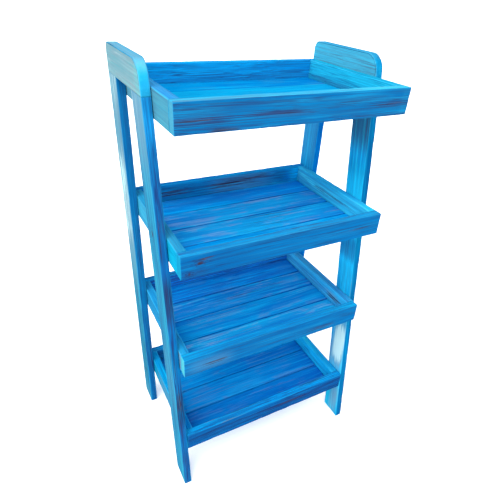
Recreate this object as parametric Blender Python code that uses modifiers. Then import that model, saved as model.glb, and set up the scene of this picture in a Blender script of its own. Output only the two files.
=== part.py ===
"""Four-tier wooden tray stand: two A-shaped side frames holding four open slatted trays.

Units are metres, +Z is up. The stand faces -Y. The origin is on the floor, at the
centre of the footprint. "left" is -X, as seen by someone standing in front of it.
"""

import math

import bmesh
import bpy

# ---------------------------------------------------------------- overall size
HEIGHT = 1.000            # floor to the top of the cap boards
DEPTH = 0.357             # front foot to the back of the rear legs
TRAY_WIDTH = 0.476        # outside width of every tray
JOINT_GAP = 0.0003        # clearance left wherever two boards touch

# ---------------------------------------------------------------- side frames
FRAME_THICKNESS = 0.019   # legs and cap boards are all cut from one board thickness
LEG_WIDTH = 0.060         # measured square across the board
FRONT_LEG_LEAN = math.radians(7.55)   # the front leg leans back, the rear leg is plumb
CAP_HEIGHT = 0.055        # cap board that ties the two legs together at the top
CAP_FRONT_RADIUS = 0.038
CAP_REAR_RADIUS = 0.018
ARC_STEPS = 8             # straight steps in each rounded cap corner

# ---------------------------------------------------------------- trays
TRAY_DEPTH = 0.333
TRAY_HEIGHT = 0.051
TRAY_BOARD = 0.020        # thickness of the four boards round a tray
TRAY_TOPS = (0.960, 0.694, 0.429, 0.170)      # rim heights, top tray first
TRAY_FRONTS = (0.024, 0.020, 0.023, 0.019)    # how far each rim sits behind the front feet
FLOOR_THICKNESS = 0.012   # planks lie flush with the underside of the rim
PLANKS_PER_TRAY = 4
PLANK_GAP = 0.0012

# ---------------------------------------------------------------- edges
FRAME_EASE = 0.0015       # sanded edge on legs and caps
TRAY_EASE = 0.0012
PLANK_EASE = 0.0014
EASE_SEGMENTS = 2

# ---------------------------------------------------------------- paint (linear RGB)
LEG_BLUE = (0.030, 0.300, 0.560)
CAP_BLUE = (0.060, 0.380, 0.640)
RIM_BLUE = (0.010, 0.205, 0.560)
RAIL_BLUE = (0.016, 0.270, 0.600)
PLANK_BLUE = (0.006, 0.180, 0.580)
PAINT_ROUGHNESS = 0.52

FRAME_INNER_X = TRAY_WIDTH / 2 + JOINT_GAP
CAP_BASE = HEIGHT - CAP_HEIGHT
SLOPE = math.tan(FRONT_LEG_LEAN)
LEG_RUN = LEG_WIDTH / math.cos(FRONT_LEG_LEAN)   # front leg's width along the floor


def clear_scene():
    for obj in list(bpy.data.objects):
        bpy.data.objects.remove(obj, do_unlink=True)


def new_collection(name):
    collection = bpy.data.collections.new(name)
    bpy.context.scene.collection.children.link(collection)
    return collection


def world_y(from_front):
    """World Y of a point that lies this far behind the front feet."""
    return from_front - DEPTH / 2


def paint(name, colour):
    material = bpy.data.materials.new(name)
    material.use_nodes = True
    shader = material.node_tree.nodes["Principled BSDF"]
    shader.inputs["Base Color"].default_value = (*colour, 1.0)
    shader.inputs["Roughness"].default_value = PAINT_ROUGHNESS
    shader.inputs["Metallic"].default_value = 0.0
    material.diffuse_color = (*colour, 1.0)
    return material


def ease_edges(obj, width):
    bevel = obj.modifiers.new("eased_edges", "BEVEL")
    bevel.width = width
    bevel.segments = EASE_SEGMENTS
    bevel.limit_method = "ANGLE"
    bevel.angle_limit = math.radians(40)


def keep(obj, collection, parent, colour):
    """Moves a finished board into the stand's collection, paints it and parents it."""
    for old in list(obj.users_collection):
        old.objects.unlink(obj)
    collection.objects.link(obj)
    obj.parent = parent
    obj.data.materials.append(paint(obj.name + "_paint", colour))


def square_board(name, low, high, ease, colour, collection, parent):
    """A rectangular board between two opposite corners."""
    size = [b - a for a, b in zip(low, high)]
    centre = [(a + b) / 2 for a, b in zip(low, high)]
    bpy.ops.mesh.primitive_cube_add(size=1.0, location=centre)
    obj = bpy.context.active_object
    obj.name = name
    obj.data.name = name
    obj.scale = size
    bpy.ops.object.transform_apply(location=False, rotation=False, scale=True)
    ease_edges(obj, ease)
    keep(obj, collection, parent, colour)
    return obj


def outline_board(name, outline, inner_x, side, ease, colour, collection, parent):
    """A flat board of the frame's thickness, cut to an outline of (y, z) points.

    side is -1 on the left frame and +1 on the right one; inner_x is the distance of
    the board's inner face from the middle of the stand.
    """
    curve = bpy.data.curves.new(name + "_outline", "CURVE")
    curve.dimensions = "2D"
    curve.fill_mode = "BOTH"
    curve.extrude = FRAME_THICKNESS / 2
    spline = curve.splines.new("POLY")
    spline.points.add(len(outline) - 1)
    for point, (y, z) in zip(spline.points, outline):
        point.co = (y, z, 0.0, 1.0)
    spline.use_cyclic_u = True
    flat = bpy.data.objects.new(name + "_outline", curve)
    bpy.context.scene.collection.objects.link(flat)
    flat.location = (side * (inner_x + FRAME_THICKNESS / 2), 0.0, 0.0)
    flat.rotation_euler = (math.radians(90), 0.0, math.radians(90))
    bpy.context.view_layer.update()

    graph = bpy.context.evaluated_depsgraph_get()
    mesh = bpy.data.meshes.new_from_object(flat.evaluated_get(graph))
    mesh.name = name
    welded = bmesh.new()
    welded.from_mesh(mesh)
    bmesh.ops.remove_doubles(welded, verts=welded.verts, dist=0.00001)
    bmesh.ops.dissolve_limit(
        welded, angle_limit=math.radians(1), verts=welded.verts, edges=welded.edges
    )
    bmesh.ops.recalc_face_normals(welded, faces=welded.faces)
    welded.to_mesh(mesh)
    welded.free()
    mesh.materials.clear()

    obj = bpy.data.objects.new(name, mesh)
    obj.matrix_world = flat.matrix_world
    bpy.context.scene.collection.objects.link(obj)
    bpy.data.objects.remove(flat, do_unlink=True)
    ease_edges(obj, ease)
    keep(obj, collection, parent, colour)
    return obj


def rounded_corner(before, corner, after, radius):
    """Points of the arc that replaces a corner between two straight sides."""
    ax, ay = before[0] - corner[0], before[1] - corner[1]
    bx, by = after[0] - corner[0], after[1] - corner[1]
    la, lb = math.hypot(ax, ay), math.hypot(bx, by)
    ax, ay, bx, by = ax / la, ay / la, bx / lb, by / lb
    half = math.acos(max(-1.0, min(1.0, ax * bx + ay * by))) / 2
    reach = radius / math.tan(half)
    mx, my = ax + bx, ay + by
    lm = math.hypot(mx, my)
    centre = (
        corner[0] + mx / lm * radius / math.sin(half),
        corner[1] + my / lm * radius / math.sin(half),
    )
    start = math.atan2(corner[1] + ay * reach - centre[1], corner[0] + ax * reach - centre[0])
    end = math.atan2(corner[1] + by * reach - centre[1], corner[0] + bx * reach - centre[0])
    sweep = (end - start + math.pi) % (2 * math.pi) - math.pi
    return [
        (
            centre[0] + radius * math.cos(start + sweep * i / ARC_STEPS),
            centre[1] + radius * math.sin(start + sweep * i / ARC_STEPS),
        )
        for i in range(ARC_STEPS + 1)
    ]


def build_side_frame(label, side, collection, parent):
    top = CAP_BASE - JOINT_GAP

    def front(z):
        return world_y(SLOPE * z)

    rear = world_y(DEPTH)
    front_leg = [
        (front(0.0), 0.0),
        (front(0.0) + LEG_RUN, 0.0),
        (front(top) + LEG_RUN, top),
        (front(top), top),
    ]
    rear_leg = [
        (rear - LEG_WIDTH, 0.0),
        (rear, 0.0),
        (rear, top),
        (rear - LEG_WIDTH, top),
    ]
    low_front, low_rear = (front(CAP_BASE), CAP_BASE), (rear, CAP_BASE)
    high_rear, high_front = (rear, HEIGHT), (front(HEIGHT), HEIGHT)
    cap = (
        [low_front, low_rear]
        + rounded_corner(low_rear, high_rear, high_front, CAP_REAR_RADIUS)
        + rounded_corner(high_rear, high_front, low_front, CAP_FRONT_RADIUS)
    )
    for name, outline, colour in (
        (label + "_front_leg", front_leg, LEG_BLUE),
        (label + "_rear_leg", rear_leg, LEG_BLUE),
        (label + "_top_cap", cap, CAP_BLUE),
    ):
        outline_board(
            name, outline, FRAME_INNER_X, side, FRAME_EASE, colour, collection, parent
        )


def build_tray(number, top, front, collection, parent):
    """Front and back panels run the full width; the side rails fit between them."""
    label = "tray%d" % number
    half = TRAY_WIDTH / 2
    bottom = top - TRAY_HEIGHT
    y0, y1 = world_y(front), world_y(front + TRAY_DEPTH)
    inner0, inner1 = y0 + TRAY_BOARD + JOINT_GAP, y1 - TRAY_BOARD - JOINT_GAP
    square_board(
        label + "_front_panel", (-half, y0, bottom), (half, y0 + TRAY_BOARD, top),
        TRAY_EASE, RIM_BLUE, collection, parent,
    )
    square_board(
        label + "_back_panel", (-half, y1 - TRAY_BOARD, bottom), (half, y1, top),
        TRAY_EASE, RIM_BLUE, collection, parent,
    )
    square_board(
        label + "_left_rail", (-half, inner0, bottom), (-half + TRAY_BOARD, inner1, top),
        TRAY_EASE, RAIL_BLUE, collection, parent,
    )
    square_board(
        label + "_right_rail", (half - TRAY_BOARD, inner0, bottom), (half, inner1, top),
        TRAY_EASE, RAIL_BLUE, collection, parent,
    )
    plank_x = half - TRAY_BOARD - JOINT_GAP
    room = inner1 - inner0 - (PLANKS_PER_TRAY - 1) * PLANK_GAP
    width = room / PLANKS_PER_TRAY
    for i in range(PLANKS_PER_TRAY):
        start = inner0 + i * (width + PLANK_GAP)
        square_board(
            label + "_plank%d" % (i + 1),
            (-plank_x, start, bottom),
            (plank_x, start + width, bottom + FLOOR_THICKNESS),
            PLANK_EASE, PLANK_BLUE, collection, parent,
        )


def main():
    clear_scene()
    stand = new_collection("tray_stand")
    root = bpy.data.objects.new("tray_stand_root", None)
    root.empty_display_size = 0.1
    stand.objects.link(root)
    build_side_frame("left", -1, stand, root)
    build_side_frame("right", 1, stand, root)
    for i, (top, front) in enumerate(zip(TRAY_TOPS, TRAY_FRONTS)):
        build_tray(i + 1, top, front, stand, root)


main()
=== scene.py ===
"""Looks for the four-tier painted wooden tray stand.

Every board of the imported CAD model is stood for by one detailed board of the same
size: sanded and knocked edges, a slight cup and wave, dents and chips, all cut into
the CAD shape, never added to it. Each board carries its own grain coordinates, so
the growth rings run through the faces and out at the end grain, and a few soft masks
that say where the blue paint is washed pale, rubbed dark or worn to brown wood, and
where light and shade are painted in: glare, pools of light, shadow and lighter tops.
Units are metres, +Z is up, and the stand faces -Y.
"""

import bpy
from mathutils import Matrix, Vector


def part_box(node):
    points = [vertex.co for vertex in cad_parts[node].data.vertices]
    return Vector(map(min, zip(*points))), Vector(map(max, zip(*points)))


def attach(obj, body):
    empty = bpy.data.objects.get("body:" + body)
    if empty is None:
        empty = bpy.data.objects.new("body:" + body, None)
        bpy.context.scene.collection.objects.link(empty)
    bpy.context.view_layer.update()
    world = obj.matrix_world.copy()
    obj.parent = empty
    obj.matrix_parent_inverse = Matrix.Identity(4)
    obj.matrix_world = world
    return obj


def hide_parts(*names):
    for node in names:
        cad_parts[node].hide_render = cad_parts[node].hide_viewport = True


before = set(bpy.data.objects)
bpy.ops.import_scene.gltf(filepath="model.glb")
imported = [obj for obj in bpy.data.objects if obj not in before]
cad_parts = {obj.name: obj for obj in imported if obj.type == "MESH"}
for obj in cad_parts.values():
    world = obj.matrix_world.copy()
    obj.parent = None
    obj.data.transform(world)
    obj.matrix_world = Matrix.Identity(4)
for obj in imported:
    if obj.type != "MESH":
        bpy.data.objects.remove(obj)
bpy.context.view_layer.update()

import fnmatch
import math

import bpy
import numpy as np
from mathutils import Matrix, Vector

# ---------------------------------------------------------------- sizes, as in the CAD
HEIGHT = 1.000
DEPTH = 0.357
LEG_LEAN = math.radians(7.55)
SLOPE = math.tan(LEG_LEAN)
LEG_RUN = 0.060 / math.cos(LEG_LEAN)
CAP_BASE = 0.945
CAP_FRONT_RADIUS = 0.038
CAP_REAR_RADIUS = 0.018

# ---------------------------------------------------------------- board surface
LEG_EASE = 0.0022        # rounded-over edge of a leg
CAP_EASE = 0.0022
RIM_EASE = 0.0014
PLANK_EASE = 0.0024


# ================================================================ smooth random fields
def ripple(points, seed, wavelengths, terms=9):
    """A smooth random field in about [-1, 1] over (n, 3) points. wavelengths is one
    size in metres for each of the three directions."""
    rng = np.random.default_rng(seed)
    total = np.zeros(len(points))
    scaled = points / np.asarray(wavelengths, float)
    for _ in range(terms):
        direction = rng.normal(size=3)
        direction /= np.linalg.norm(direction)
        direction *= rng.uniform(0.6, 1.5)
        total += np.cos(2 * math.pi * (scaled @ direction) + rng.uniform(0, 2 * math.pi))
    return total / math.sqrt(terms / 2) / 1.7


def smooth(low, high, value):
    x = np.clip((value - low) / (high - low), 0.0, 1.0)
    return x * x * (3 - 2 * x)


# ================================================================ meshes
def spread(length, ease, step):
    """Grid lines across a board: two close to each end for the rounded edge, then even."""
    count = max(2, int(round((length - 2 * ease) / step)) + 1)
    inner = np.linspace(ease, length - ease, count)
    return np.concatenate(
        [[0.0, 0.586 * ease], inner, [length - 0.586 * ease, length]]
    )


def shell(rows, columns, layers):
    """Index grid and quads of the skin of a rows x columns x layers block. Quads face out
    for right-handed axes."""
    index = -np.ones((rows, columns, layers), int)
    skin = np.zeros(index.shape, bool)
    skin[0], skin[-1] = True, True
    skin[:, 0], skin[:, -1] = True, True
    skin[:, :, 0], skin[:, :, -1] = True, True
    index[skin] = np.arange(int(skin.sum()))

    def sheet(grid, flip):
        a, b, c, d = grid[:-1, :-1], grid[1:, :-1], grid[1:, 1:], grid[:-1, 1:]
        quads = np.stack([a, b, c, d], -1).reshape(-1, 4)
        return quads[:, ::-1] if flip else quads

    quads = np.concatenate(
        [
            sheet(index[:, :, -1], False),
            sheet(index[:, :, 0], True),
            sheet(index[-1], False),
            sheet(index[0], True),
            sheet(index[:, -1].T, False),
            sheet(index[:, 0].T, True),
        ]
    )
    return np.argwhere(skin), quads


def block_board(size, ease, steps):
    """A board of that size with rounded-over edges, as local points and quads. Returns the
    points, the quads, and how far each point lies from the nearest edge of the board."""
    lines = [spread(length, ease, step) for length, step in zip(size, steps)]
    where, quads = shell(*[len(line) for line in lines])
    flat = np.stack([lines[axis][where[:, axis]] for axis in range(3)], 1)
    size = np.asarray(size, float)
    inner = np.clip(flat, ease, size - ease)
    out = flat - inner
    length = np.linalg.norm(out, axis=1, keepdims=True)
    points = inner + ease * out / np.maximum(length, 1e-12)
    near = np.sort(np.minimum(flat, size - flat), axis=1)[:, 1]
    return points, quads, near


def cap_board(thickness, ease):
    """A top cap in (along, up, across) points: its front end leans with the front leg and
    runs into the large rounded corner, and the small rounded corner is at the rear."""
    base, top = CAP_BASE, HEIGHT
    rear = DEPTH
    lean = math.pi / 2 - LEG_LEAN               # angle between the front end and the top
    # front corner: the top side and the leaning front end
    reach = CAP_FRONT_RADIUS * math.tan(lean / 2)
    corner = (SLOPE * top, top)
    front_centre = (corner[0] + reach, top - CAP_FRONT_RADIUS)
    rear_centre = (rear - CAP_REAR_RADIUS, top - CAP_REAR_RADIUS)
    joins = top - CAP_FRONT_RADIUS + CAP_FRONT_RADIUS * math.sin(LEG_LEAN)

    def front_of(z):
        on_arc = np.clip((z - front_centre[1]) / CAP_FRONT_RADIUS, -1, 1)
        bent = front_centre[0] - CAP_FRONT_RADIUS * np.sqrt(1 - on_arc**2)
        return np.where(z > joins, bent, SLOPE * z)

    def rear_of(z):
        on_arc = np.clip((z - rear_centre[1]) / CAP_REAR_RADIUS, -1, 1)
        bent = rear_centre[0] + CAP_REAR_RADIUS * np.sqrt(1 - on_arc**2)
        return np.where(z > rear_centre[1], bent, rear)

    # rows of the face, close together where the corners curve over
    turn = np.linspace(LEG_LEAN, math.pi / 2, 13)[1:]
    high = front_centre[1] + CAP_FRONT_RADIUS * np.sin(turn)
    low = np.concatenate([[base, base + 0.0026], np.linspace(base + 0.0052, joins, 5)])
    rows = np.concatenate([low, high])
    share = np.concatenate([[0.0, 0.010, 0.020], np.linspace(0.034, 0.966, 58), [0.980, 0.990, 1.0]])
    layers = [(ease * (1 - math.sin(a)), ease * (1 - math.cos(a))) for a in np.radians([90, 60, 30, 0])]
    middle = np.linspace(ease, thickness - ease, 8)[1:-1]
    layers = layers + [(m, 0.0) for m in middle] + [(thickness - t, i) for t, i in reversed(layers)]

    where, quads = shell(len(share), len(rows), len(layers))
    u, z = share[where[:, 0]], rows[where[:, 1]]
    y = front_of(z) + (rear_of(z) - front_of(z)) * u
    t = np.array([layer[0] for layer in layers])[where[:, 2]]
    inset = np.array([layer[1] for layer in layers])[where[:, 2]]

    # the way out of the outline at each point of its rim
    normal = np.zeros((len(where), 2))
    on_front, on_rear = where[:, 0] == 0, where[:, 0] == len(share) - 1
    on_base, on_top = where[:, 1] == 0, where[:, 1] == len(rows) - 1
    bent = on_front & (z > joins)
    normal[on_front & ~bent] = (-math.cos(LEG_LEAN), math.sin(LEG_LEAN))
    normal[bent] = np.stack([y[bent] - front_centre[0], z[bent] - front_centre[1]], 1) / CAP_FRONT_RADIUS
    bent = on_rear & (z > rear_centre[1])
    normal[on_rear & ~bent] = (1.0, 0.0)
    normal[bent] = np.stack([y[bent] - rear_centre[0], z[bent] - rear_centre[1]], 1) / CAP_REAR_RADIUS
    normal[on_top] = (0.0, 1.0)
    normal[on_base] += (0.0, -1.0)
    y = y - normal[:, 0] * inset
    z = z - normal[:, 1] * inset * np.where(on_base, 0.12, 1.0)
    points = np.stack([y, z - base, t], 1)

    rim = np.concatenate(
        [
            np.stack([front_of(rows), rows], 1)[:-1],
            np.stack([np.linspace(front_of(np.array([top]))[0], rear_of(np.array([top]))[0], 9), np.full(9, top)], 1),
            np.stack([rear_of(rows), rows], 1)[:-1][::-1],
        ]
    )
    ends = rim[1:]                      # the underside, which butts on the legs, is left out
    rim = rim[:-1]
    spans = ends - rim
    place = np.stack([y, z], 1)
    share_of = ((place[:, None] - rim) * spans).sum(-1) / np.maximum((spans**2).sum(-1), 1e-12)
    foot = rim + np.clip(share_of, 0, 1)[..., None] * spans
    to_rim = np.linalg.norm(place[:, None] - foot, axis=-1).min(1)
    near = np.where((t <= 1e-9) | (t >= thickness - 1e-9), to_rim, np.minimum(t, thickness - t))
    return points, quads, near


def point_normals(points, quads):
    a, b, c, d = (points[quads[:, i]] for i in range(4))
    face = np.cross(c - a, d - b)
    normals = np.zeros_like(points)
    for i in range(4):
        np.add.at(normals, quads[:, i], face)
    return normals / np.maximum(np.linalg.norm(normals, axis=1, keepdims=True), 1e-15)


# ================================================================ what each board is
class Board:
    """axes says which world axis (0 X, 1 Y, 2 Z) the grain, the width and the thickness
    of the board run along."""

    def __init__(self, name, family, axes, low, high, ease, steps, seed):
        self.name, self.family, self.axes = name, family, axes
        self.low, self.high = np.array(low, float), np.array(high, float)
        self.size = [self.high[a] - self.low[a] for a in axes]
        self.ease, self.steps, self.seed = ease, steps, seed


def boards():
    found = []
    seed = 11
    for side in ("left", "right"):
        for part in ("front_leg", "rear_leg", "top_cap"):
            name = f"{side}_{part}"
            low, high = (np.array(corner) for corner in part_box(name))
            if part == "top_cap":
                found.append(Board(name, "cap", (1, 2, 0), low, high, CAP_EASE, None, seed))
            else:
                steps = (0.0058, 0.0026, 0.0027)
                found.append(Board(name, "leg", (2, 1, 0), low, high, LEG_EASE, steps, seed))
            seed += 1
    for tray in (1, 2, 3, 4):
        for part, family, axes, steps in (
            ("front_panel", "rim", (0, 2, 1), (0.0052, 0.0022, 0.0026)),
            ("back_panel", "rim", (0, 2, 1), (0.0052, 0.0022, 0.0026)),
            ("left_rail", "rail", (1, 2, 0), (0.0052, 0.0022, 0.0026)),
            ("right_rail", "rail", (1, 2, 0), (0.0052, 0.0022, 0.0026)),
            ("plank1", "plank", (0, 1, 2), (0.0060, 0.0027, 0.0026)),
            ("plank2", "plank", (0, 1, 2), (0.0060, 0.0027, 0.0026)),
            ("plank3", "plank", (0, 1, 2), (0.0060, 0.0027, 0.0026)),
            ("plank4", "plank", (0, 1, 2), (0.0060, 0.0027, 0.0026)),
        ):
            name = f"tray{tray}_{part}"
            low, high = (np.array(corner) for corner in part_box(name))
            ease = PLANK_EASE if family == "plank" else RIM_EASE
            found.append(Board(name, family, axes, low, high, ease, steps, seed))
            seed += 1
    return found


# Ends that butt against another board stay square, and paint fills the CAD's clearance
# there: start and end along the grain.
SEAM = 0.00027
BUTT_ENDS = {"leg": (0, 1), "rail": (1, 1)}

# Knots: board, how far along the board and across it (shares), radius in metres, and
# how bare and brown it is.
KNOTS = {
    "tray2_front_panel": [(0.082, 0.58, 0.0042, 0.72), (0.036, 0.20, 0.0028, 0.42)],
    "tray4_back_panel": [(0.640, 0.55, 0.0055, 0.50)],
    "left_front_leg": [(0.735, 0.50, 0.0055, 0.30)],
    "right_rear_leg": [(0.060, 0.45, 0.0060, 0.40)],
    "left_rear_leg": [(0.120, 0.55, 0.0060, 0.35)],
}
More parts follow.
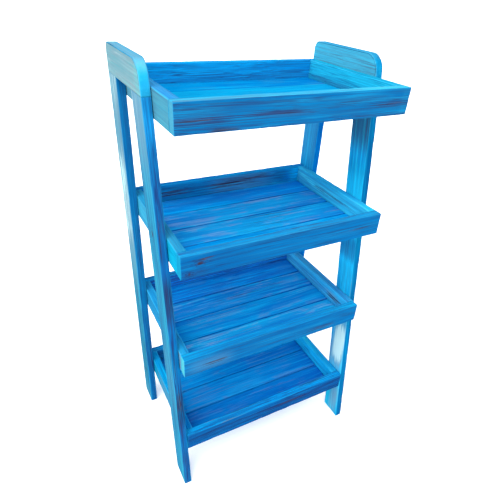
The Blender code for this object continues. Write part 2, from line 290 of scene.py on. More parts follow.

# Where the colour differs, in world metres: board, mask, the way the face looks, the
# centre, the half sizes, and the strength. A None in the centre leaves that axis free.
# Some marks are painted light and shade, named as such below.
MARKS = [
    # ---- left side frame, outer faces: pale towards the top, partly washed paint and partly painted glare
    ("left_top_cap", "pale", (-1, 0, 0), (None, None, None), (1, 1, 1), 0.53),
    ("left_top_cap", "pale", (-1, 0, 0), (None, -0.046, None), (1, 0.020, 1), -0.20),
    ("left_top_cap", "cyan", (-1, 0, 0), (None, -0.046, None), (1, 0.022, 1), 0.45),
    # painted sheen: the top faces of the left cap, tray 1's front panel and its left rail painted paler
    ("left_top_cap", "pale", (0, 0, 1), (None, None, None), (1, 1, 1), 0.40),
    ("tray1_front_panel", "pale", (0, 0, 1), (None, None, None), (1, 1, 1), 0.08),
    ("tray1_left_rail", "pale", (0, 0, 1), (None, None, None), (1, 1, 1), 0.05),
    ("left_front_leg", "pale", (-1, 0, 0), (None, None, 1.000), (1, 1, 0.170), 0.50),
    ("left_front_leg", "pale", (-1, 0, 0), (None, None, None), (1, 1, 1), 0.10),
    ("left_front_leg", "pale", (-1, 0, 0), (None, None, 0.340), (1, 1, 0.100), 0.06),
    # painted glare: the near-white band across the left rear leg's outer face
    ("left_rear_leg", "pale", (-1, 0, 0), (None, 0.160, 0.680), (1, 0.050, 0.130), 0.36),
    ("left_rear_leg", "pale", (-1, 0, 0), (None, None, 0.680), (1, 1, 0.230), 0.36),
    ("left_rear_leg", "pale", (-1, 0, 0), (None, None, None), (1, 1, 1), 0.08),
    ("left_rear_leg", "pale", (-1, 0, 0), (None, None, 1.000), (1, 1, 0.130), 0.56),
    ("left_rear_leg", "pale", (-1, 0, 0), (None, None, 0.000), (1, 1, 0.060), 0.10),
    ("left_top_cap", "cyan", (0, -1, 0.3), (None, -0.03, 0.985), (1, 0.030, 0.040), 0.85),
    ("left_front_leg", "cyan", (0, -1, 0), (None, None, 0.935), (1, 1, 0.070), 0.70),
    # ---- left front leg, narrow front face: dark and reddish rubbed streaks
    ("left_front_leg", "dark", (0, -1, 0), (-0.2515, None, 0.400), (0.0055, 1, 0.480), 0.60),
    ("left_front_leg", "brown", (0, -1, 0), (-0.2515, None, 0.400), (0.0055, 1, 0.480), 0.22),
    ("left_front_leg", "brown", (0, -1, 0), (-0.246, None, 0.715), (0.006, 1, 0.022), 0.30),
    ("left_front_leg", "dark", (0, -1, 0), (None, None, 0.740), (1, 1, 0.080), 0.25),
    ("left_front_leg", "dark", (0, -1, 0), (None, None, 0.555), (1, 1, 0.060), 0.60),
    ("left_front_leg", "dark", (0, -1, 0), (None, None, 0.270), (1, 1, 0.080), 0.70),
    ("left_front_leg", "brown", (0, -1, 0), (-0.249, None, 0.285), (0.006, 1, 0.030), 0.35),
    ("left_front_leg", "dark", (0, -1, 0), (None, None, 0.060), (1, 1, 0.060), 0.70),
    ("left_rear_leg", "dark", (0, -1, 0), (None, None, 0.240), (1, 1, 0.100), 0.45),
    # ---- right side frame
    ("right_top_cap", "pale", (-1, 0, 0), (None, 0.03, 0.978), (1, 0.200, 0.060), 0.22),
    ("right_top_cap", "cyan", (-1, 0, 0), (None, None, 0.975), (1, 1, 0.050), 0.40),
    # painted light: near-white pools on the right front leg's inner face, between trays 3 and 4 and below tray 4
    ("right_front_leg", "pale", (-1, 0, 0), (None, -0.121, 0.258), (1, 0.028, 0.086), 1.02),
    ("right_front_leg", "pale", (-1, 0, 0), (None, -0.150, 0.060), (1, 0.018, 0.060), 0.46),
    ("right_front_leg", "brown", (-1, 0, 0), (None, -0.128, 0.100), (1, 0.008, 0.030), 0.34),
    ("right_front_leg", "brown", (-1, 0, 0), (None, None, 0.850), (1, 1, 0.040), 0.24),
    ("right_front_leg", "dark", (-1, 0, 0), (None, None, 0.870), (1, 1, 0.075), 0.40),
    ("right_front_leg", "pale", (-1, 0, 0), (None, None, 0.860), (1, 1, 0.060), 0.06),
    ("right_front_leg", "dark", (-1, 0, 0), (None, None, 0.560), (1, 1, 0.032), 0.40),
    ("right_front_leg", "dark", (-1, 0, 0), (None, -0.090, 0.190), (1, 0.012, 0.060), 0.40),
    ("right_front_leg", "cyan", (-1, 0, 0), (None, None, 0.690), (1, 1, 0.060), 0.45),
    ("right_front_leg", "cyan", (-1, 0, 0), (None, None, 0.500), (1, 1, 0.060), 0.40),
    ("right_rear_leg", "pale", (-1, 0, 0), (None, None, 0.800), (1, 1, 0.100), 0.14),
    # ---- front panels
    ("tray1_front_panel", "dark", (0, -1, 0), (-0.205, None, 0.932), (0.055, 1, 0.006), 0.85),
    ("tray1_front_panel", "brown", (0, -1, 0), (-0.205, None, 0.930), (0.030, 1, 0.0030), 0.42),
    ("tray1_front_panel", "brown", (0, -1, 0), (-0.150, None, 0.913), (0.030, 1, 0.0030), 0.50),
    ("tray1_front_panel", "dark", (0, -1, 0), (-0.050, None, 0.931), (0.060, 1, 0.005), 0.85),
    ("tray1_front_panel", "brown", (0, -1, 0), (-0.030, None, 0.931), (0.030, 1, 0.0030), 0.26),
    ("tray1_front_panel", "brown", (0, -1, 0), (0.185, None, 0.932), (0.045, 1, 0.004), 0.38),
    ("tray1_front_panel", "cyan", (0, -1, 0), (0.230, None, None), (0.012, 1, 1), 0.10),
    ("tray2_front_panel", "brown", (0, -1, 0), (-0.185, None, 0.680), (0.016, 1, 0.0035), 0.50),
    ("tray2_front_panel", "brown", (0, -1, 0), (0.130, None, 0.668), (0.080, 1, 0.0035), 0.38),
    ("tray2_front_panel", "dark", (0, -1, 0), (-0.210, None, 0.652), (0.028, 1, 0.010), 0.45),
    ("tray3_front_panel", "brown", (0, -1, 0), (-0.165, None, 0.398), (0.032, 1, 0.008), 0.36),
    ("tray3_front_panel", "brown", (0, -1, 0), (-0.060, None, 0.408), (0.030, 1, 0.004), 0.26),
    ("tray3_front_panel", "brown", (0, -1, 0), (0.125, None, 0.392), (0.050, 1, 0.005), 0.34),
    ("tray3_front_panel", "cyan", (0, -1, 0), (-0.180, None, 0.405), (0.060, 1, 0.020), 0.12),
    ("tray3_front_panel", "pale", (0, -1, 0), (-0.175, None, 0.400), (0.050, 1, 0.018), 0.14),
    ("tray4_front_panel", "brown", (0, -1, 0), (0.075, None, 0.146), (0.055, 1, 0.0045), 0.36),
    ("tray4_front_panel", "dark", (0, -1, 0), (0.090, None, 0.145), (0.120, 1, 0.010), 0.60),
    ("tray4_front_panel", "dark", (0, -1, 0), (-0.080, None, 0.150), (0.100, 1, 0.008), 0.35),
    # ---- back panels, the face seen inside the tray
    ("tray1_back_panel", "dark", (0, -1, 0), (None, None, 0.930), (1, 1, 0.012), 0.45),
    # painted shadow of tray 1: the dark mark over the left part of tray 2's back panel
    ("tray2_back_panel", "dark", (0, -1, 0), (-0.150, None, 0.675), (0.090, 1, 0.018), 0.80),
    ("tray2_back_panel", "brown", (0, -1, 0), (-0.140, None, 0.672), (0.045, 1, 0.008), 0.46),
    ("tray2_back_panel", "brown", (0, -1, 0), (0.030, None, 0.676), (0.090, 1, 0.012), 0.44),
    # painted light: the pale and cyan marks on the right part of tray 2's back panel and on plank 4's back edge
    ("tray2_back_panel", "pale", (0, -1, 0), (0.045, None, None), (0.085, 1, 1), 0.24),
    ("tray2_back_panel", "cyan", (0, -1, 0), (0.225, None, None), (0.030, 1, 1), 0.50),
    ("tray2_plank4", "cyan", (0, 0, 1), (0.110, 0.152, None), (0.150, 0.009, 1), 0.70),
    ("tray2_back_panel", "dark", (0, -1, 0), (0.080, None, 0.680), (0.140, 1, 0.014), 0.50),
    # painted shade along tray 3's back panel, under tray 2
    ("tray3_back_panel", "dark", (0, -1, 0), (None, None, 0.410), (1, 1, 0.016), 0.40),
    # ---- right rails, the face seen inside the tray
    ("tray1_right_rail", "dark", (-1, 0, 0), (None, 0.060, 0.926), (1, 0.120, 0.007), 0.60),
    ("tray1_right_rail", "cyan", (-1, 0, 0), (None, None, 0.945), (1, 1, 0.020), 0.60),
    ("tray2_right_rail", "brown", (-1, 0, 0), (None, 0.000, 0.672), (1, 0.090, 0.005), 0.40),
    ("tray2_right_rail", "dark", (-1, 0, 0), (None, 0.020, 0.675), (1, 0.140, 0.012), 0.40),
    ("tray3_right_rail", "brown", (-1, 0, 0), (None, -0.085, 0.405), (1, 0.032, 0.008), 0.52),
    ("tray3_right_rail", "pale", (-1, 0, 0), (None, -0.075, 0.412), (1, 0.030, 0.006), 0.30),
    ("tray3_right_rail", "dark", (-1, 0, 0), (None, 0.000, 0.402), (1, 0.120, 0.010), 0.45),
    ("tray4_right_rail", "dark", (-1, 0, 0), (None, -0.060, 0.146), (1, 0.070, 0.010), 0.45),
    # ---- left rails, outer face, and the end grain of the front panels beside them
    ("tray1_left_rail", "pale", (-1, 0, 0), (None, None, None), (1, 1, 1), 0.22),
    ("tray1_left_rail", "pale", (-1, 0, 0), (None, 0.060, None), (1, 0.110, 1), 0.12),
    ("tray1_front_panel", "pale", (-1, 0, 0), (None, None, None), (1, 1, 1), 0.22),
    ("tray1_left_rail", "cyan", (-1, 0, 0), (None, -0.115, None), (1, 0.050, 1), 0.45),
    ("tray1_front_panel", "cyan", (-1, 0, 0), (None, None, None), (1, 1, 1), 0.45),
    ("tray2_front_panel", "cyan", (-1, 0, 0), (None, None, None), (1, 1, 1), 0.75),
    ("tray2_left_rail", "cyan", (-1, 0, 0), (None, -0.125, None), (1, 0.040, 1), 0.25),
    ("tray2_left_rail", "pale", (-1, 0, 0), (None, 0.070, None), (1, 0.070, 1), 0.16),
    ("tray3_front_panel", "pale", (-1, 0, 0), (None, None, None), (1, 1, 1), 0.22),
    ("tray3_front_panel", "cyan", (-1, 0, 0), (None, None, None), (1, 1, 1), 1.00),
    ("tray3_left_rail", "pale", (-1, 0, 0), (None, -0.135, None), (1, 0.014, 1), 0.46),
    ("tray3_left_rail", "cyan", (-1, 0, 0), (None, -0.120, None), (1, 0.030, 1), 0.90),
    ("tray3_left_rail", "cyan", (-1, 0, 0), (None, 0.060, None), (1, 0.080, 1), 0.40),
    ("tray4_left_rail", "pale", (-1, 0, 0), (None, 0.010, 0.140), (1, 0.070, 0.050), 0.20),
    # ---- tray floors
    ("tray2_plank2", "brown", (0, 0, 1), (0.020, None, None), (0.090, 0.020, 1), 0.20),
    # painted shadow of tray 1 on the back left of tray 2's floor
    ("tray2_plank4", "dark", (0, 0, 1), (-0.090, 0.130, None), (0.140, 0.030, 1), 0.45),
    # painted shade at the back of tray 3's floor, under tray 2
    ("tray3_plank4", "dark", (0, 0, 1), (None, 0.120, None), (1, 0.040, 1), 0.45),
    ("tray3_plank3", "brown", (0, 0, 1), (0.020, 0.050, None), (0.120, 0.012, 1), 0.26),
    ("tray4_plank2", "cyan", (0, 0, 1), (-0.020, -0.060, None), (0.060, 0.030, 1), 0.45),
    ("tray1_plank3", "cyan", (0, 0, 1), (None, None, None), (1, 1, 1), 0.50),
    ("tray1_plank2", "cyan", (0, 0, 1), (None, None, None), (1, 1, 1), 0.50),
]

# How much lighter (+) or deeper (-) a whole board is painted: partly its own coat, partly
# painted light and shade, as on tray 4's front panel, painted deep, and the tray floors.
TONES = {
    "tray4_front_panel": -0.85,
    "tray1_plank*": -0.05,
    "tray2_plank*": 0.35,
    "tray3_plank*": 0.12,
    "tray4_plank*": -0.25,
    "tray2_right_rail": 0.25,
    "tray3_right_rail": 0.15,
    "tray4_right_rail": -0.10,
}

# Painted light and shade by face: tops and the faces seen inside the trays are mostly
# painted lighter, fronts and outer sides deeper, as the light falls on them: board, the
# way the face looks, tone.
FACE_LIGHT_TONES = [
    ("tray1_front_panel", (0, 0, 1), 0.95),
    ("tray[23]_front_panel", (0, 0, 1), 0.70),
    ("tray4_front_panel", (0, 0, 1), 1.60),
    ("tray[123]_front_panel", (0, 1, 0), 0.80),
    ("tray4_front_panel", (0, 1, 0), 1.40),
    ("*_front_panel", (0, 0, -1), 0.20),
    ("tray1_back_panel", (0, -1, 0), 1.00),
    ("tray2_back_panel", (0, -1, 0), 1.15),
    ("tray3_back_panel", (0, -1, 0), 0.60),
    ("tray4_back_panel", (0, -1, 0), 0.60),
    ("*_back_panel", (0, 0, 1), 0.95),
    ("*_back_panel", (0, 1, 0), 0.25),
    ("*_left_rail", (-1, 0, 0), -0.55),
    ("*_right_rail", (1, 0, 0), -0.70),
    ("left_*_leg", (-1, 0, 0), -0.15),
    ("left_front_leg", (0, -1, 0), -0.70),
    ("left_rear_leg", (0, -1, 0), -0.35),
    ("right_*_leg", (-1, 0, 0), 0.50),
    ("right_rear_leg", (0, -1, 0), 0.10),
]


# How strongly the dark grain lines show, and how dark the paint is in a plank's grooves.
LINES = {
    "tray1_front_panel": 1.20,
    "tray2_front_panel": 1.00,
    "tray3_front_panel": 1.05,
    "tray4_front_panel": 1.70,
    "tray1_back_panel": 0.95,
    "tray2_back_panel": 1.00,
    "tray3_back_panel": 1.90,
    "tray4_back_panel": 1.40,
    "tray2_*_rail": 0.75,
    "left_front_leg": 1.05,
    "left_top_cap": 0.90,
    "right_top_cap": 1.45,
    "right_front_leg": 0.75,
    "right_rear_leg": 0.75,
    "tray1_plank*": 0.80,
    "tray2_plank*": 0.95,
    "tray3_plank*": 1.05,
    "tray4_plank*": 0.90,
}
GROOVES = {"tray1_plank*": 0.20, "tray2_plank*": 0.65, "tray3_plank*": 0.75, "tray4_plank*": 0.45}


def setting(table, name, usual):
    found = [value for pattern, value in table.items() if fnmatch.fnmatch(name, pattern)]
    return found[0] if found else usual


def patch(points, centre, half):
    """1 inside a soft-edged box round that centre, and 0 outside it."""
    weight = np.ones(len(points))
    for axis in range(3):
        if centre[axis] is not None:
            weight *= np.exp(-np.abs((points[:, axis] - centre[axis]) / half[axis]) ** 4)
    return weight


def coat_and_shading_of(board, world, normals, drift):
    """How much of red, green and blue each point gives back, against its family's own
    paint: the coat's own mix together with painted light and shade by face and patch."""
    # the whole board's tone, partly painted light and shade
    whole = sum(v for k, v in TONES.items() if fnmatch.fnmatch(board.name, k))
    tone = np.full(len(normals), float(whole) + drift)
    # painted light and shade: each face lighter or deeper by which way it looks
    for pattern, facing, value in FACE_LIGHT_TONES:
        if fnmatch.fnmatch(board.name, pattern):
            tone += value * smooth(0.45, 0.80, normals @ np.array(facing, float))
    deeper = np.clip(-tone, 0.0, 1.0)[:, None] * (np.array([0.60, 0.55, 0.65]) - 1.0)
    lighter = np.clip(tone, 0.0, 1.0)[:, None] * (np.array([1.30, 2.20, 1.75]) - 1.0)
    coat = 1.0 + deeper + lighter
    # per-face gains: the paint's mix and painted light and shade
    for name, facing, gain in COAT_AND_LIGHT_GAINS:
        if name == board.name:
            share = smooth(0.45, 0.80, normals @ np.array(facing, float))[:, None]
            coat *= np.array(gain) ** share
    for name, facing, centre, half, gain in SHADES:
        if name == board.name:
            share = smooth(0.45, 0.80, normals @ np.array(facing, float))
            coat *= np.array(gain) ** (share * patch(world, centre, half))[:, None]
    return coat


# Broad areas painted deeper or lighter: board, the way the face looks, the centre and half
# sizes in world metres, and the gains on red, green and blue. Those marked below are
# painted light and shade.
SHADES = [
    ("right_front_leg", (-1, 0, 0), (None, None, 0.872), (1, 1, 0.062), (0.80, 0.45, 0.44)),
    ("right_front_leg", (-1, 0, 0), (None, None, 0.560), (1, 1, 0.034), (0.95, 0.48, 0.58)),
    ("right_front_leg", (-1, 0, 0), (None, None, 0.470), (1, 1, 0.052), (1.00, 0.66, 0.72)),
    ("right_front_leg", (-1, 0, 0), (None, None, 0.050), (1, 1, 0.070), (1.00, 0.84, 0.76)),
    ("left_front_leg", (0, -1, 0), (None, None, 0.262), (1, 1, 0.050), (0.90, 0.72, 0.66)),
    ("left_front_leg", (0, -1, 0), (None, None, 0.405), (1, 1, 0.045), (1.00, 1.35, 1.15)),
    ("left_front_leg", (0, -1, 0), (None, None, 0.560), (1, 1, 0.045), (1.05, 0.68, 0.62)),
    ("left_rear_leg", (-1, 0, 0), (None, None, 0.200), (1, 1, 0.110), (0.70, 0.82, 0.88)),
    # painted light on the right end of tray 2's back panel
    ("tray2_back_panel", (0, -1, 0), (0.215, None, None), (0.040, 1, 1), (0.80, 1.25, 1.30)),
    ("right_front_leg", (-1, 0, 0), (None, None, 0.725), (1, 1, 0.055), (1.00, 0.82, 0.80)),
    # painted shade: the right end faces of the front panels, dark as unlit faces
    ("tray1_front_panel", (1, 0, 0), (None, None, None), (1, 1, 1), (0.55, 0.50, 0.55)),
    ("tray2_front_panel", (1, 0, 0), (None, None, None), (1, 1, 1), (0.65, 0.62, 0.65)),
    ("tray3_front_panel", (1, 0, 0), (None, None, None), (1, 1, 1), (0.65, 0.62, 0.65)),
    ("tray4_left_rail", (0, 0, 1), (None, -0.110, None), (1, 0.050, 1), (0.80, 0.74, 0.98)),
    ("tray4_left_rail", (1, 0, 0), (None, None, None), (1, 1, 1), (0.90, 0.62, 0.88)),
]


# Each face's own mix of the paint together with painted light and shade on that face,
# as gains on red, green and blue.
COAT_AND_LIGHT_GAINS = [
    ("left_top_cap", (0, 0, 1), (2.36, 1.40, 1.20)),
    ("tray1_front_panel", (0, 0, 1), (5.00, 1.60, 1.07)),
    ("tray1_left_rail", (0, 0, 1), (3.20, 0.84, 0.96)),
    ("tray1_right_rail", (0, 0, 1), (1.02, 0.98, 0.85)),
    ("tray1_right_rail", (-1, 0, 0), (1.29, 1.15, 0.94)),
    ("tray1_back_panel", (0, -1, 0), (0.82, 1.27, 1.23)),
    ("tray1_plank1", (0, 0, 1), (0.40, 1.30, 0.98)),
    ("tray1_plank2", (0, 0, 1), (0.20, 1.69, 1.01)),
    ("tray1_plank3", (0, 0, 1), (0.38, 1.00, 0.87)),
    ("tray1_plank4", (0, 0, 1), (0.45, 1.00, 0.89)),
    ("tray1_front_panel", (0, -1, 0), (1.52, 1.09, 0.97)),
    ("tray2_front_panel", (0, 0, 1), (2.43, 1.07, 0.95)),
    ("tray2_left_rail", (0, 0, 1), (3.32, 0.97, 0.85)),
    ("tray2_right_rail", (0, 0, 1), (3.32, 1.23, 1.11)),
    ("tray2_right_rail", (-1, 0, 0), (3.97, 1.28, 1.10)),
    ("tray2_plank1", (0, 0, 1), (0.80, 1.12, 1.00)),
    ("tray2_plank2", (0, 0, 1), (4.44, 1.11, 0.96)),
    ("tray2_plank3", (0, 0, 1), (5.00, 1.18, 1.04)),
    ("tray2_plank4", (0, 0, 1), (1.55, 1.19, 1.15)),
    ("tray2_front_panel", (0, -1, 0), (0.98, 1.01, 0.99)),
    ("tray3_front_panel", (0, 0, 1), (1.06, 1.12, 0.99)),
    ("tray3_left_rail", (0, 0, 1), (2.03, 0.93, 0.93)),
    ("tray3_right_rail", (0, 0, 1), (3.50, 0.76, 0.82)),
    ("tray3_plank1", (0, 0, 1), (5.00, 1.38, 1.03)),
    ("tray3_plank2", (0, 0, 1), (2.36, 1.23, 1.04)),
    ("tray3_plank3", (0, 0, 1), (2.99, 1.04, 0.96)),
    ("tray3_plank4", (0, 0, 1), (1.26, 1.26, 1.21)),
    ("tray3_front_panel", (0, -1, 0), (1.13, 1.04, 0.99)),
    ("tray4_front_panel", (0, 0, 1), (0.65, 1.03, 1.06)),
    ("tray4_left_rail", (0, 0, 1), (0.48, 0.97, 0.99)),
    ("tray4_right_rail", (0, 0, 1), (1.38, 1.13, 1.09)),
    ("tray4_right_rail", (-1, 0, 0), (0.95, 1.40, 1.37)),
    ("tray4_plank1", (0, 0, 1), (1.65, 0.78, 0.89)),
    ("tray4_plank2", (0, 0, 1), (1.76, 1.03, 1.03)),
    ("tray4_plank3", (0, 0, 1), (1.30, 1.12, 1.08)),
    ("tray4_plank4", (0, 0, 1), (1.20, 1.05, 1.00)),
    ("tray4_front_panel", (0, -1, 0), (1.12, 1.34, 1.33)),
    ("left_front_leg", (0, -1, 0), (1.23, 1.20, 1.32)),
    ("right_rear_leg", (-1, 0, 0), (0.20, 0.90, 1.02)),
    ("right_rear_leg", (0, -1, 0), (0.24, 0.93, 1.35)),
    ("right_top_cap", (-1, 0, 0), (0.75, 1.19, 0.99)),
    ("right_top_cap", (0, -1, 0), (0.20, 0.83, 0.95)),
    ("tray1_front_panel", (-1, 0, 0), (1.00, 0.90, 0.68)),
    ("tray2_front_panel", (-1, 0, 0), (0.63, 0.72, 0.61)),
    ("tray3_right_rail", (-1, 0, 0), (3.96, 1.20, 1.15)),
    ("tray3_front_panel", (-1, 0, 0), (2.22, 0.99, 0.63)),
    ("tray3_back_panel", (0, -1, 0), (1.66, 1.54, 1.75)),
    ("tray4_front_panel", (-1, 0, 0), (0.80, 1.20, 1.10)),
    ("left_rear_leg", (-1, 0, 0), (0.74, 1.14, 0.81)),
    ("left_front_leg", (-1, 0, 0), (0.41, 1.26, 0.94)),
    ("left_rear_leg", (0, -1, 0), (1.21, 0.99, 1.08)),
    ("right_front_leg", (-1, 0, 0), (1.46, 1.65, 1.49)),
    ("right_front_leg", (0, -1, 0), (0.39, 0.94, 0.98)),
    ("left_top_cap", (-1, 0, 0), (4.44, 1.04, 0.62)),
    ("tray1_left_rail", (-1, 0, 0), (1.78, 0.88, 0.63)),
    ("tray2_left_rail", (-1, 0, 0), (0.60, 1.15, 0.92)),
    ("tray2_back_panel", (0, -1, 0), (0.72, 1.16, 1.07)),
    ("tray3_left_rail", (-1, 0, 0), (2.21, 0.80, 0.75)),
    ("tray4_left_rail", (-1, 0, 0), (0.40, 0.83, 0.71)),
]


def build(board):
    """Makes the detailed board, hides its CAD node, and returns the new object."""
    size = board.size
    if board.family == "cap":
        local, quads, near = cap_board(size[2], board.ease)
        origin = np.array([-DEPTH / 2, CAP_BASE, board.low[0]])
        size = [DEPTH, HEIGHT - CAP_BASE, size[2]]
    else:
        if board.name.endswith("front_leg"):
            size = [size[0], LEG_RUN, size[2]]
        butt = BUTT_ENDS.get(board.family, (0, 0))
        longer = [size[0] + board.ease * sum(butt), size[1], size[2]]
        local, quads, near = block_board(longer, board.ease, board.steps)
        local[:, 0] -= board.ease * butt[0]
        local[:, 0] = np.clip(local[:, 0], -SEAM * butt[0], size[0] + SEAM * butt[1])
        origin = board.low[list(board.axes)].copy()
        if board.name.endswith("front_leg"):
            origin[1] = -DEPTH / 2
    along, across, through = local[:, 0], local[:, 1], local[:, 2]

    def to_world(points):
        placed = points + origin
        world = np.empty_like(placed)
        for column, axis in enumerate(board.axes):
            world[:, axis] = placed[:, column]
        if board.name.endswith("front_leg"):
            world[:, 1] += SLOPE * world[:, 2]
        return world

    if board.axes in ((0, 2, 1), (2, 1, 0)):    # left-handed order of axes
        quads = quads[:, ::-1]
    world = to_world(local)
    normals = point_normals(world, quads)
    rng = np.random.default_rng(board.seed * 7919)

    # ---- how deep each point is cut below the CAD surface
    wave = 0.5 + 0.5 * ripple(local, board.seed + 100, (0.32, 0.20, 0.20), 6)
    cup = 0.5 + 0.5 * ripple(local, board.seed + 200, (0.22, 0.055, 0.055), 6)
    furrow = 0.5 + 0.5 * ripple(local, board.seed + 300, (0.16, 0.011, 0.011), 12)
    cut = 0.00016 * wave + 0.00012 * cup + 0.00009 * furrow
    edge = np.exp(-((near / 0.0020) ** 2))
    knocked = smooth(0.25, 0.95, ripple(local, board.seed + 400, (0.034, 0.030, 0.030), 14))
    rubbed = 0.5 + 0.5 * ripple(local, board.seed + 500, (0.110, 0.080, 0.080), 8)
    butt = BUTT_ENDS.get(board.family, (0, 0))
    open_end = np.ones(len(local))
    if butt[0]:
        open_end *= smooth(0.0, 0.006, along)
    if butt[1]:
        open_end *= smooth(0.0, 0.006, size[0] - along)
    if board.family == "cap":
        open_end *= smooth(0.0, 0.004, across)
    cut += edge * open_end * (0.00018 * rubbed + 0.00065 * knocked)
    for _ in range(9 if board.family == "leg" else 5):
        spot = local[rng.integers(len(local))]
        reach = rng.uniform(0.0028, 0.0065) * np.array([1.7, 1.0, 1.0])
        cut += open_end * rng.uniform(0.00012, 0.00040) * np.exp(-((((local - spot) / reach) ** 2).sum(1)))

    # ---- grain: distance from the pith, which wanders along the board
    pith = np.array([size[1] * rng.uniform(-0.6, 1.6), -rng.uniform(0.035, 0.110)])
    if rng.random() < 0.4:
        pith[1] = size[2] - pith[1]
    line = np.stack([along, np.zeros_like(along), np.zeros_like(along)], 1)
    drift_w = 0.0030 * ripple(line, board.seed + 600, (0.55, 1, 1), 5)
    drift_t = 0.0034 * ripple(line, board.seed + 700, (0.50, 1, 1), 5)
    grain_w = across - pith[0] + drift_w
    grain_t = through - pith[1] + drift_t
    masks = {key: np.zeros(len(local)) for key in ("pale", "dark", "brown", "cyan")}
    knot = np.zeros(len(local))
    for share_l, share_w, radius, bare in KNOTS.get(board.name, []):
        away = np.hypot((along - share_l * size[0]) / 1.7, across - share_w * size[1])
        grain_t += 0.005 * np.exp(-((away / (1.8 * radius)) ** 2)) * np.sign(pith[1] - size[2] / 2) * -1
        core = np.exp(-((away / radius) ** 2))
        knot = np.maximum(knot, core)
        masks["brown"] += bare * core
        masks["dark"] += 0.5 * np.exp(-((away / (2.2 * radius)) ** 2))
        cut += 0.00025 * core

    for name, key, facing, centre, half, strength in MARKS:
        if name != board.name:
            continue
        facing = np.array(facing, float) / np.linalg.norm(facing)
        masks[key] += smooth(0.35, 0.85, normals @ facing) * strength * patch(world, centre, half)

    # ---- the finished mesh
    surface = world
    butt = BUTT_ENDS.get(board.family, (0, 0))
    low, high = board.low.copy(), board.high.copy()
    low[board.axes[0]] -= SEAM * butt[0]
    high[board.axes[0]] += SEAM * butt[1]
    world = np.clip(world - normals * cut[:, None], low, high)
    mesh = bpy.data.meshes.new(board.name + "_board")
    mesh.vertices.add(len(world))
    mesh.vertices.foreach_set("co", world.astype(np.float32).ravel())
    mesh.loops.add(quads.size)
    mesh.loops.foreach_set("vertex_index", quads.astype(np.int32).ravel())
    mesh.polygons.add(len(quads))
    mesh.polygons.foreach_set("loop_start", np.arange(0, quads.size, 4, dtype=np.int32))
    mesh.polygons.foreach_set("use_smooth", np.ones(len(quads), bool))
    mesh.update(calc_edges=True)
    mesh.validate()

    grain = np.stack([along + board.seed * 1.37, grain_w, grain_t], 1)
    attribute = mesh.attributes.new("grain", "FLOAT_VECTOR", "POINT")
    attribute.data.foreach_set("vector", grain.astype(np.float32).ravel())
    values = dict(masks)
    values["rim"] = near
    values["knot"] = knot
    end_grain = smooth(0.55, 0.90, np.abs(normals[:, board.axes[0]]))
    values["lines"] = setting(LINES, board.name, 1.0) * (1.0 - 0.88 * end_grain)
    values["groove"] = np.full(len(local), setting(GROOVES, board.name, 1.0))
    # the coat's own mix with painted light and shade by face and by patch
    coat = coat_and_shading_of(board, surface, normals, rng.uniform(-0.10, 0.10))
    attribute = mesh.attributes.new("coat", "FLOAT_VECTOR", "POINT")
    attribute.data.foreach_set("vector", coat.astype(np.float32).ravel())
    for key, value in values.items():
        attribute = mesh.attributes.new(key, "FLOAT", "POINT")
        attribute.data.foreach_set("value", value.astype(np.float32))

    piece = bpy.data.objects.new(board.name + "_painted", mesh)
    bpy.context.scene.collection.objects.link(piece)
    mesh.materials.append(MATERIALS[board.family])
    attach(piece, "root")
    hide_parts(board.name)
    return piece


# ================================================================ materials
class Net:
    """Small helper for building a material's nodes."""

    def __init__(self, name):
        self.material = bpy.data.materials.new(name)
        self.material.use_nodes = True
        self.tree = self.material.node_tree
        self.shader = self.tree.nodes["Principled BSDF"]

    def put(self, socket, value):
        if isinstance(value, bpy.types.NodeSocket):
            self.tree.links.new(value, socket)
        elif isinstance(value, (tuple, list)) and socket.type == "RGBA":
            socket.default_value = (*value, 1.0)
        else:
            socket.default_value = value

    def data(self, name, output="Fac"):
        node = self.tree.nodes.new("ShaderNodeAttribute")
        node.attribute_type = "GEOMETRY"
        node.attribute_name = name
        return node.outputs[output]

    def scaled(self, vector, factors):
        node = self.tree.nodes.new("ShaderNodeVectorMath")
        node.operation = "MULTIPLY"
        self.put(node.inputs[0], vector)
        self.put(node.inputs[1], factors)
        return node.outputs[0]

    def math(self, operation, a, b=0.0, clamp=False):
        node = self.tree.nodes.new("ShaderNodeMath")
        node.operation = operation
        node.use_clamp = clamp
        self.put(node.inputs[0], a)
        self.put(node.inputs[1], b)
        return node.outputs[0]

    def noise(self, vector, factors, detail=2.0, roughness=0.5, distortion=0.0):
        node = self.tree.nodes.new("ShaderNodeTexNoise")
        node.inputs["Scale"].default_value = 1.0
        node.inputs["Detail"].default_value = detail
        node.inputs["Roughness"].default_value = roughness
        node.inputs["Distortion"].default_value = distortion
        self.put(node.inputs["Vector"], self.scaled(vector, factors))
        return node.outputs["Fac"]

    def rings(self, vector, factors, distortion, detail_scale):
        node = self.tree.nodes.new("ShaderNodeTexWave")
        node.wave_type = "RINGS"
        node.rings_direction = "X"
        node.wave_profile = "SAW"
        node.inputs["Scale"].default_value = 1.0
        node.inputs["Distortion"].default_value = distortion
        node.inputs["Detail"].default_value = 2.0
        node.inputs["Detail Scale"].default_value = detail_scale
        node.inputs["Detail Roughness"].default_value = 0.5
        self.put(node.inputs["Vector"], self.scaled(vector, factors))
        return node.outputs["Fac"]

    def span(self, value, low, high, to_low=0.0, to_high=1.0):
        node = self.tree.nodes.new("ShaderNodeMapRange")
        node.interpolation_type = "SMOOTHSTEP"
        self.put(node.inputs["Value"], value)
        self.put(node.inputs["From Min"], low)
        self.put(node.inputs["From Max"], high)
        self.put(node.inputs["To Min"], to_low)
        self.put(node.inputs["To Max"], to_high)
        return node.outputs["Result"]

    def mix(self, factor, a, b, blend="MIX"):
        node = self.tree.nodes.new("ShaderNodeMix")
        node.data_type = "RGBA"
        node.blend_type = blend
        node.clamp_factor = True
        self.put(node.inputs["Factor"], factor)
        self.put(node.inputs[6], a)
        self.put(node.inputs[7], b)
        return node.outputs[2]


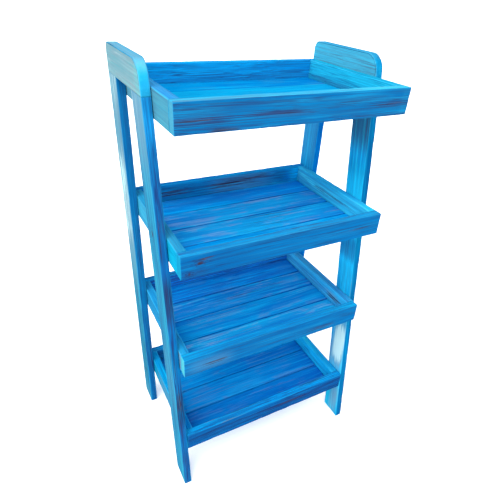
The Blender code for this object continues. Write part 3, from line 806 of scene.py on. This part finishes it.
def painted_wood(
    name, deep, mid, light, ink, lines=1.0, wash=0.0, rough=0.46, edge=(0.060, 0.300, 0.520), edge_share=0.60, haze=0.0,
):
    """Thin blue paint brushed along open-grained softwood, then rubbed back, with painted
    light and shade laid in from the masks and the coat gains.
    """
    net = Net(name)
    grain = net.data("grain", "Vector")
    pale_mask, dark_mask = net.data("pale"), net.data("dark")
    brown_mask, cyan_and_light_mask = net.data("brown"), net.data("cyan")
    rim, knot, coat = net.data("rim"), net.data("knot"), net.data("coat", "Vector")
    strength, groove = net.data("lines"), net.data("groove")

    slow = net.noise(grain, (3.2, 18, 18), 2.0, 0.5, 0.3)
    brush = net.noise(grain, (4.5, 150, 150), 3.0, 0.60, 0.15)
    cluster = net.noise(grain, (5.5, 75, 75), 2.0, 0.50, 0.3)
    thread = net.noise(grain, (4.6, 450, 450), 2.5, 0.55, 0.03)
    vein = net.noise(grain, (2.4, 265, 265), 2.0, 0.50, 0.03)
    fine = net.noise(grain, (18, 760, 760), 3.0, 0.62, 0.10)
    hair = net.noise(grain, (34, 1900, 1900), 1.0, 0.5)
    blotch = net.noise(grain, (13, 46, 46), 4.0, 0.58, 0.4)
    pits = net.noise(grain, (420, 1100, 1100), 2.0, 0.6)
    ring = net.rings(grain, (1.1, 82, 82), 1.6, 1.1)

    # blue coat: slow drift, then brush streaks of the lighter blue
    colour = net.mix(net.span(slow, 0.36, 0.64), deep, mid)
    colour = net.mix(net.math("MULTIPLY", net.span(brush, 0.46, 0.68), 0.70), colour, light)
    # cyan marks: lighter paint in places, and painted light on tray 2's back panel and floor
    colour = net.mix(net.math("MULTIPLY", cyan_and_light_mask, 0.85, True), colour, (0.012, 0.370, 0.690))

    # a greyer film left in broad streaks
    if haze:
        film = net.math("MULTIPLY", net.span(blotch, 0.46, 0.64), net.span(brush, 0.40, 0.62))
        colour = net.mix(net.math("MULTIPLY", film, haze), colour, (0.050, 0.190, 0.400))

    # thin dark lines where the paint has been rubbed off the late wood of each ring
    gather = net.span(cluster, 0.36, 0.66, 0.50, 1.0)
    late = net.math("MULTIPLY", net.span(ring, 0.72, 0.98), net.span(brush, 0.36, 0.60))
    dark = net.math("MULTIPLY", late, 0.38)
    off_line = net.math("ABSOLUTE", net.math("SUBTRACT", vein, 0.5))
    dark = net.math("MAXIMUM", dark, net.math("MULTIPLY", net.span(off_line, 0.050, 0.010), 0.80))
    dark = net.math("MAXIMUM", dark, net.math("MULTIPLY", net.span(thread, 0.50, 0.60), 0.60))
    dark = net.math("MAXIMUM", dark, net.math("MULTIPLY", net.span(fine, 0.54, 0.64), 0.55))
    dark = net.math("MAXIMUM", dark, net.math("MULTIPLY", net.span(hair, 0.56, 0.70), 0.28))
    # the dark marks, some of them painted shadow, make these lines stronger
    push = net.math("ADD", gather, net.math("MULTIPLY", dark_mask, 0.9))
    push = net.math("MULTIPLY", push, net.math("MULTIPLY", strength, lines))
    dark = net.math("MULTIPLY", dark, push, True)
    colour = net.mix(net.math("MULTIPLY", dark, 0.94), colour, ink)

    # wider deep streaks inside the dark marks, bruised paint in places and painted shadow where a mark stands for shade
    smear = net.math("ADD", net.math("MULTIPLY", brush, 0.5), net.math("MULTIPLY", thread, 0.5))
    bruise_and_shadow = net.math("MULTIPLY", net.span(smear, 0.54, 0.42), dark_mask)
    colour = net.mix(net.math("MULTIPLY", bruise_and_shadow, 0.55, True), colour, (0.020, 0.048, 0.140))

    # the board's own mix of the paint, with the painted light and shade of each face
    colour = net.scaled(colour, coat)

    # pale patches, partly chalky wash and partly painted glare, highlight and sheen: streaky
    # while thin, smooth where they are thick
    break_up = net.math("MULTIPLY", net.math("SUBTRACT", blotch, 0.5), 1.6)
    break_up = net.math("ADD", break_up, net.math("MULTIPLY", net.math("SUBTRACT", brush, 0.5), 1.9))
    break_up = net.math("ADD", break_up, net.math("MULTIPLY", net.math("SUBTRACT", thread, 0.5), 1.5))
    wash_and_glare = net.math("ADD", pale_mask, wash)
    streaky = net.math("MULTIPLY", net.math("MULTIPLY", wash_and_glare, wash_and_glare), net.span(wash_and_glare, 0.45, 1.05, 1.30, 0.25))
    wash_and_glare = net.math("ADD", wash_and_glare, net.math("MULTIPLY", break_up, streaky))
    veil = net.math("MULTIPLY", wash_and_glare, 1.0, True)
    wash_and_glare_colour = net.mix(net.span(wash_and_glare, 0.60, 0.95), (0.165, 0.245, 0.295), (0.400, 0.600, 0.610))
    colour = net.mix(net.math("MULTIPLY", veil, 0.96), colour, wash_and_glare_colour)

    # bare wood showing through, warm brown, broken up along the grain
    bare = net.math("ADD", net.math("MULTIPLY", brown_mask, 1.20), net.math("MULTIPLY", net.math("SUBTRACT", thread, 0.5), 2.4))
    bare = net.math("ADD", bare, net.math("MULTIPLY", net.math("SUBTRACT", fine, 0.5), 1.2))
    bare = net.math("MULTIPLY", net.span(bare, 0.34, 0.80), net.span(brown_mask, 0.02, 0.20))
    wood = net.mix(net.span(fine, 0.40, 0.60), (0.070, 0.055, 0.072), (0.022, 0.020, 0.038))
    colour = net.mix(net.math("MULTIPLY", bare, 0.86, True), colour, wood)
    colour = net.mix(net.math("MULTIPLY", net.span(knot, 0.35, 0.85), 0.70), colour, (0.034, 0.018, 0.026))

    # edges rubbed to the paler undercoat, with a few spots of wood
    reach = net.math("ADD", net.span(blotch, 0.35, 0.70, 0.0007, 0.0040), net.math("MULTIPLY", net.math("SUBTRACT", brush, 0.5), 0.003))
    worn = net.math("SUBTRACT", 1.0, net.math("DIVIDE", rim, net.math("MAXIMUM", reach, 0.0004)), True)
    worn = net.span(worn, 0.0, 0.75)
    colour = net.mix(net.math("MULTIPLY", worn, net.math("MULTIPLY", groove, edge_share)), colour, edge)
    chipped = net.math("MULTIPLY", net.span(worn, 0.55, 0.9), net.span(brush, 0.62, 0.72))
    colour = net.mix(net.math("MULTIPLY", chipped, net.math("MULTIPLY", strength, 0.60, True)), colour, (0.100, 0.110, 0.140))

    # specks
    speck = net.span(pits, 0.66, 0.76)
    colour = net.mix(net.math("MULTIPLY", speck, 0.16), colour, (0.010, 0.075, 0.220))
    net.put(net.shader.inputs["Base Color"], colour)

    # satin paint, duller where it is pale (wash and painted glare), open or bare
    gloss = net.span(slow, 0.3, 0.7, rough - 0.05, rough + 0.07)
    gloss = net.math("ADD", gloss, net.math("MULTIPLY", veil, 0.14))
    gloss = net.math("ADD", gloss, net.math("MULTIPLY", dark, 0.16))
    gloss = net.math("ADD", gloss, net.math("MULTIPLY", bare, 0.22))
    gloss = net.math("ADD", gloss, net.math("MULTIPLY", net.math("SUBTRACT", pits, 0.5), 0.22), True)
    net.put(net.shader.inputs["Roughness"], gloss)
    net.shader.inputs["Specular IOR Level"].default_value = 0.0005
    net.shader.inputs["Specular Tint"].default_value = (0.08, 0.50, 1.0, 1.0)
    net.shader.inputs["Metallic"].default_value = 0.0

    # brushed ridges, grooves of the late wood, pits
    height = net.math("MULTIPLY", brush, 0.55)
    height = net.math("ADD", height, net.math("MULTIPLY", fine, 0.60))
    height = net.math("ADD", height, net.math("MULTIPLY", hair, 0.14))
    height = net.math("SUBTRACT", height, net.math("MULTIPLY", dark, 0.45))
    height = net.math("SUBTRACT", height, net.math("MULTIPLY", bare, 0.30))
    height = net.math("SUBTRACT", height, net.math("MULTIPLY", speck, 0.35))
    bump = net.tree.nodes.new("ShaderNodeBump")
    bump.inputs["Strength"].default_value = 0.65
    bump.inputs["Distance"].default_value = 0.00045
    net.put(bump.inputs["Height"], height)
    net.put(net.shader.inputs["Normal"], bump.outputs["Normal"])
    return net.material


MATERIALS = {
    "leg": painted_wood(
        "leg_blue_paint", (0.002, 0.120, 0.310), (0.003, 0.190, 0.395), (0.010, 0.270, 0.490),
        (0.010, 0.040, 0.140), 0.95, edge=(0.020, 0.260, 0.450), edge_share=0.55,
    ),
    "cap": painted_wood(
        "cap_blue_paint", (0.010, 0.190, 0.380), (0.016, 0.260, 0.460), (0.030, 0.330, 0.540),
        (0.030, 0.100, 0.210), 0.80, edge=(0.060, 0.320, 0.500), edge_share=0.60,
    ),
    "rim": painted_wood(
        "rim_blue_paint", (0.001, 0.092, 0.300), (0.002, 0.125, 0.350), (0.005, 0.172, 0.420),
        (0.010, 0.032, 0.115), 1.00, edge=(0.008, 0.200, 0.420), edge_share=0.40,
    ),
    "rail": painted_wood(
        "rail_blue_paint", (0.004, 0.230, 0.500), (0.006, 0.320, 0.600), (0.014, 0.430, 0.690),
        (0.006, 0.070, 0.220), 0.90, edge=(0.030, 0.360, 0.600), edge_share=0.50,
    ),
    "plank": painted_wood(
        "plank_blue_paint", (0.001, 0.150, 0.480), (0.001, 0.230, 0.580), (0.003, 0.330, 0.680),
        (0.001, 0.065, 0.320), 0.80, edge=(0.001, 0.060, 0.280), edge_share=0.90, haze=0.50,
    ),
}

for board in boards():
    build(board)


# ================================================================ floor, light, camera
def plain_floor():
    reach, steps = 60.0, 24
    ticks = np.linspace(-reach, reach, steps + 1)
    points = [(x, y, 0.0) for y in ticks for x in ticks]
    row = steps + 1
    faces = [
        (j * row + i, j * row + i + 1, (j + 1) * row + i + 1, (j + 1) * row + i)
        for j in range(steps)
        for i in range(steps)
    ]
    mesh = bpy.data.meshes.new("studio_floor")
    mesh.from_pydata(points, [], faces)
    floor = bpy.data.objects.new("studio_floor", mesh)
    bpy.context.scene.collection.objects.link(floor)
    material = bpy.data.materials.new("studio_floor_paint")
    material.use_nodes = True
    shader = material.node_tree.nodes["Principled BSDF"]
    shader.inputs["Base Color"].default_value = (0.90, 0.90, 0.90, 1.0)
    shader.inputs["Roughness"].default_value = 0.9
    shader.inputs["Specular IOR Level"].default_value = 0.1
    shader.inputs["Emission Color"].default_value = (1.0, 1.0, 1.0, 1.0)
    shader.inputs["Emission Strength"].default_value = 0.20
    mesh.materials.append(material)


def sun(name, towards, strength, spread, colour=(1.0, 1.0, 1.0)):
    """Soft even light that shines along that direction."""
    data = bpy.data.lights.new(name, "SUN")
    data.energy = strength
    data.angle = math.radians(spread)
    data.color = colour
    light = bpy.data.objects.new(name, data)
    bpy.context.scene.collection.objects.link(light)
    light.rotation_mode = "QUATERNION"
    light.rotation_quaternion = Vector(towards).to_track_quat("-Z", "Y")


def studio():
    world = bpy.data.worlds.new("studio")
    world.use_nodes = True
    back = world.node_tree.nodes["Background"]
    back.inputs["Color"].default_value = (1.0, 1.0, 1.0, 1.0)
    back.inputs["Strength"].default_value = 1.25
    bpy.context.scene.world = world
    sun("key", (0.36, 0.34, -0.86), 2.2, 40.0)
    sun("left_fill", (0.95, 0.06, -0.26), 1.9, 50.0)
    bpy.context.scene.view_settings.view_transform = "Standard"
    bpy.context.scene.view_settings.look = "None"


def camera():
    data = bpy.data.cameras.new("photo_view")
    data.sensor_width = 36.0
    data.lens = 30.776
    data.shift_x, data.shift_y = 0.0, 0.036
    data.clip_start, data.clip_end = 0.05, 60.0
    view = bpy.data.objects.new("photo_view", data)
    bpy.context.scene.collection.objects.link(view)
    right = (0.8844566, -0.4633442, 0.0552159)
    down = (-0.2193716, -0.5173238, -0.8271954)
    ahead = (0.4118407, 0.7195056, -0.5591949)
    place = (-0.4453253, -0.7745413, 1.1130277)
    view.matrix_world = Matrix(
        [(right[i], -down[i], -ahead[i], place[i]) for i in range(3)] + [(0, 0, 0, 1)]
    )
    bpy.context.scene.camera = view


plain_floor()
studio()
camera()

bpy.context.view_layer.update()
